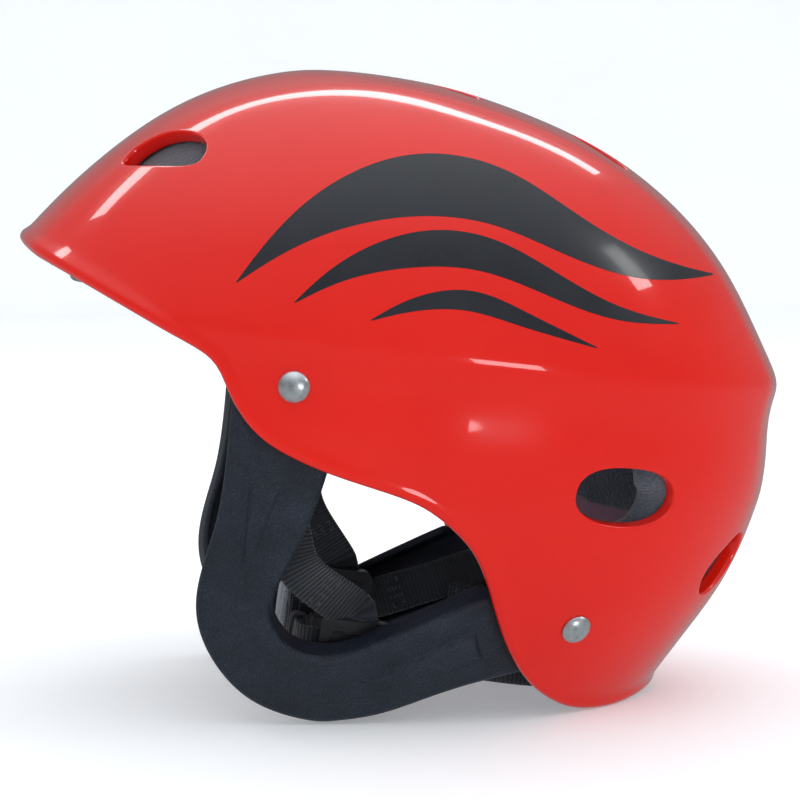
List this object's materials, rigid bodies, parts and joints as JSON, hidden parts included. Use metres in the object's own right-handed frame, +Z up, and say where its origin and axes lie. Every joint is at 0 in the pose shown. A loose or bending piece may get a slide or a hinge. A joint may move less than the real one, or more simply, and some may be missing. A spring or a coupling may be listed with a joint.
{
  "type": "water helmet",
  "caption": "Hard-shell water helmet with vented glossy shell, foam liner, moulded ear guards, riveted webbing, chin strap with side-release buckle and nape strap.",
  "frame": {"origin": "centre of the overall box at the level of the surface that the helmet stands on", "axes": "+X the wearer's left, +Y the rear of the helmet, +Z up, with the helmet tipped back 7.5 degrees on its ear guards and the shell's rear corners"},
  "size_m": [0.2144, 0.2802, 0.2306],
  "materials": {
    "shell": "high gloss moulded plastic",
    "guard": "fine pebble grain",
    "foam": "closed-cell foam, soft matte skin",
    "pale_foam": "closed-cell foam, soft matte skin",
    "webbing": "ribbed nylon webbing",
    "hardware": "satin moulded acetal",
    "rivet": "satin stainless",
    "washer": "plain",
    "neoprene": "knit-faced neoprene",
    "elastic": "woven elastic"
  },
  "bodies": {
    "helmet": {"shell": "shell", "shell_rivets": "rivet", "rivet_washers": "washer", "liner_brow_pad": "foam", "liner_crown_pad": "foam", "liner_rear_pad": "foam", "liner_left_pad": "foam", "liner_right_pad": "foam", "liner_nape_pad": "pale_foam", "left_ear_guard": "guard", "right_ear_guard": "guard", "left_front_strap": "webbing", "right_front_strap": "webbing", "left_rear_strap": "webbing", "right_rear_strap": "webbing", "left_chin_strap": "webbing", "right_chin_strap": "webbing", "nape_strap": "webbing", "left_strap_divider": "hardware", "right_strap_divider": "hardware", "buckle_socket": "hardware"},
    "plug": {"buckle_plug": "hardware"},
    "upper_prong": {"buckle_upper_prong": "hardware"},
    "lower_prong": {"buckle_lower_prong": "hardware"},
    "keeper": {"strap_keeper": "elastic"},
    "chin_sleeve": {"chin_pad": "neoprene"},
    "nape_slide": {"nape_adjuster": "hardware"}
  },
  "joints": [
    {"name": "buckle_slide", "type": "slide", "parent": "helmet", "child": "plug", "axis": [1, 0, 0], "range_m": [0, 0.018], "deforming": ["left_chin_strap", "buckle_upper_prong", "buckle_lower_prong"]},
    {"name": "upper_prong_squeeze", "type": "hinge", "parent": "plug", "child": "upper_prong", "pos_m": [0.0193, -0.03757, 0.03354], "axis": [0, -0.9914, 0.1305], "range_deg": [0, 7], "stiffness_Nm_per_rad": 0.05},
    {"name": "lower_prong_squeeze", "type": "hinge", "parent": "plug", "child": "lower_prong", "pos_m": [0.0193, -0.03978, 0.01668], "axis": [0, 0.9914, -0.1305], "range_deg": [0, 7], "stiffness_Nm_per_rad": 0.05},
    {"name": "keeper_slide", "type": "slide", "parent": "plug", "child": "keeper", "axis": [1, 0, 0], "range_m": [0, 0.002]},
    {"name": "chin_sleeve_slide", "type": "slide", "parent": "helmet", "child": "chin_sleeve", "axis": [-1, 0, 0], "range_m": [0, 0.004]},
    {"name": "nape_adjuster_slide", "type": "slide", "parent": "helmet", "child": "nape_slide", "axis": [1, 0, 0], "range_m": [-0.008, 0.008]}
  ],
  "couplings": [
    {"joint": "lower_prong_squeeze", "follows": "upper_prong_squeeze", "ratio": 1}
  ]
}
